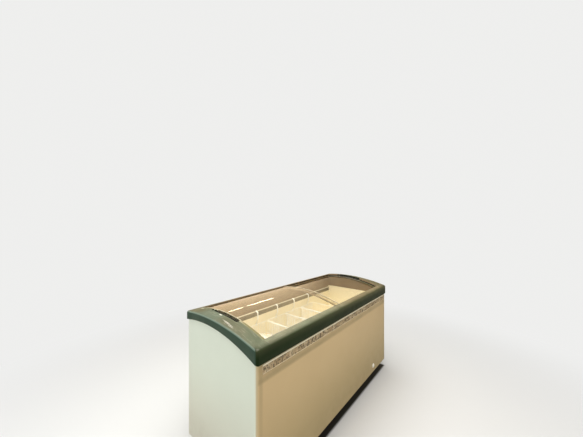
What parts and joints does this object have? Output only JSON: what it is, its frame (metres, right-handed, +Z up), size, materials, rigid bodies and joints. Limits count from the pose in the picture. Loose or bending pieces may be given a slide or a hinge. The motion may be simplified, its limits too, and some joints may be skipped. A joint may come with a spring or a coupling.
{
  "type": "display chest freezer with sliding glass lids",
  "caption": "Display chest freezer with an arched top frame, curved sliding glass lids, wire baskets, ticket strip, machine grille and castors.",
  "frame": {"origin": "middle of the footprint at floor level, under the castors", "axes": "+X along the length to the end with the machine grille, -Y towards the customer, +Z up"},
  "size_m": [1.675, 0.65, 0.8474],
  "materials": {
    "front_sheet": "satin",
    "white_sheet": "satin",
    "galvanised_steel": "matte",
    "liner": "satin",
    "ledge_strip": "satin",
    "dark_band": "matte",
    "frame_plastic": "satin",
    "lid_glass": "clear",
    "lid_trim": "satin",
    "lid_joint_trim": "satin",
    "ticket_strip": "satin",
    "ticket_insert": "matte",
    "white_plastic": "gloss",
    "grille_plastic": "satin",
    "black_plastic": "satin",
    "zinc_steel": "satin",
    "castor_tyre": "matte",
    "basket_wire": "satin"
  },
  "bodies": {
    "cabinet": {"front_panel": "front_sheet", "back_panel": "white_sheet", "left_end_panel": "white_sheet", "right_end_panel": "white_sheet", "base_pan": "galvanised_steel", "front_wall": "liner", "back_wall": "liner", "left_end_wall": "liner", "right_end_wall": "liner", "well_floor": "liner", "step_riser": "liner", "step_top": "liner", "well_corner_coves": "liner", "front_ledge_strip": "ledge_strip", "rear_ledge_strip": "ledge_strip", "front_ledge_band": "dark_band", "rear_ledge_band": "dark_band", "front_rail": "frame_plastic", "rear_rail": "frame_plastic", "left_end_cap": "frame_plastic", "right_end_cap": "frame_plastic", "ticket_strip": "ticket_strip", "ticket_insert": "ticket_insert", "drain_plug": "white_plastic", "grille_frame": "grille_plastic", "grille_panel": "grille_plastic", "grille_fastener": "black_plastic", "cord_gland": "black_plastic", "castor_forks": "zinc_steel", "castor_wheels": "castor_tyre", "basket_1": "basket_wire", "basket_2": "basket_wire", "basket_3": "basket_wire", "basket_4": "basket_wire", "basket_5": "basket_wire"},
    "left_lid": {"left_lid_glass": "lid_glass", "left_lid_outer_trim": "lid_trim", "left_lid_inner_trim": "lid_joint_trim", "left_lid_front_runner": "lid_trim", "left_lid_rear_runner": "lid_trim"},
    "right_lid": {"right_lid_glass": "lid_glass", "right_lid_outer_trim": "lid_trim", "right_lid_inner_trim": "lid_joint_trim", "right_lid_front_runner": "lid_trim", "right_lid_rear_runner": "lid_trim"}
  },
  "joints": [
    {"name": "left_lid_slide", "type": "slide", "parent": "cabinet", "child": "left_lid", "axis": [1, 0, 0], "range_m": [0, 0.724]},
    {"name": "right_lid_slide", "type": "slide", "parent": "cabinet", "child": "right_lid", "axis": [-1, 0, 0], "range_m": [0, 0.724]}
  ]
}
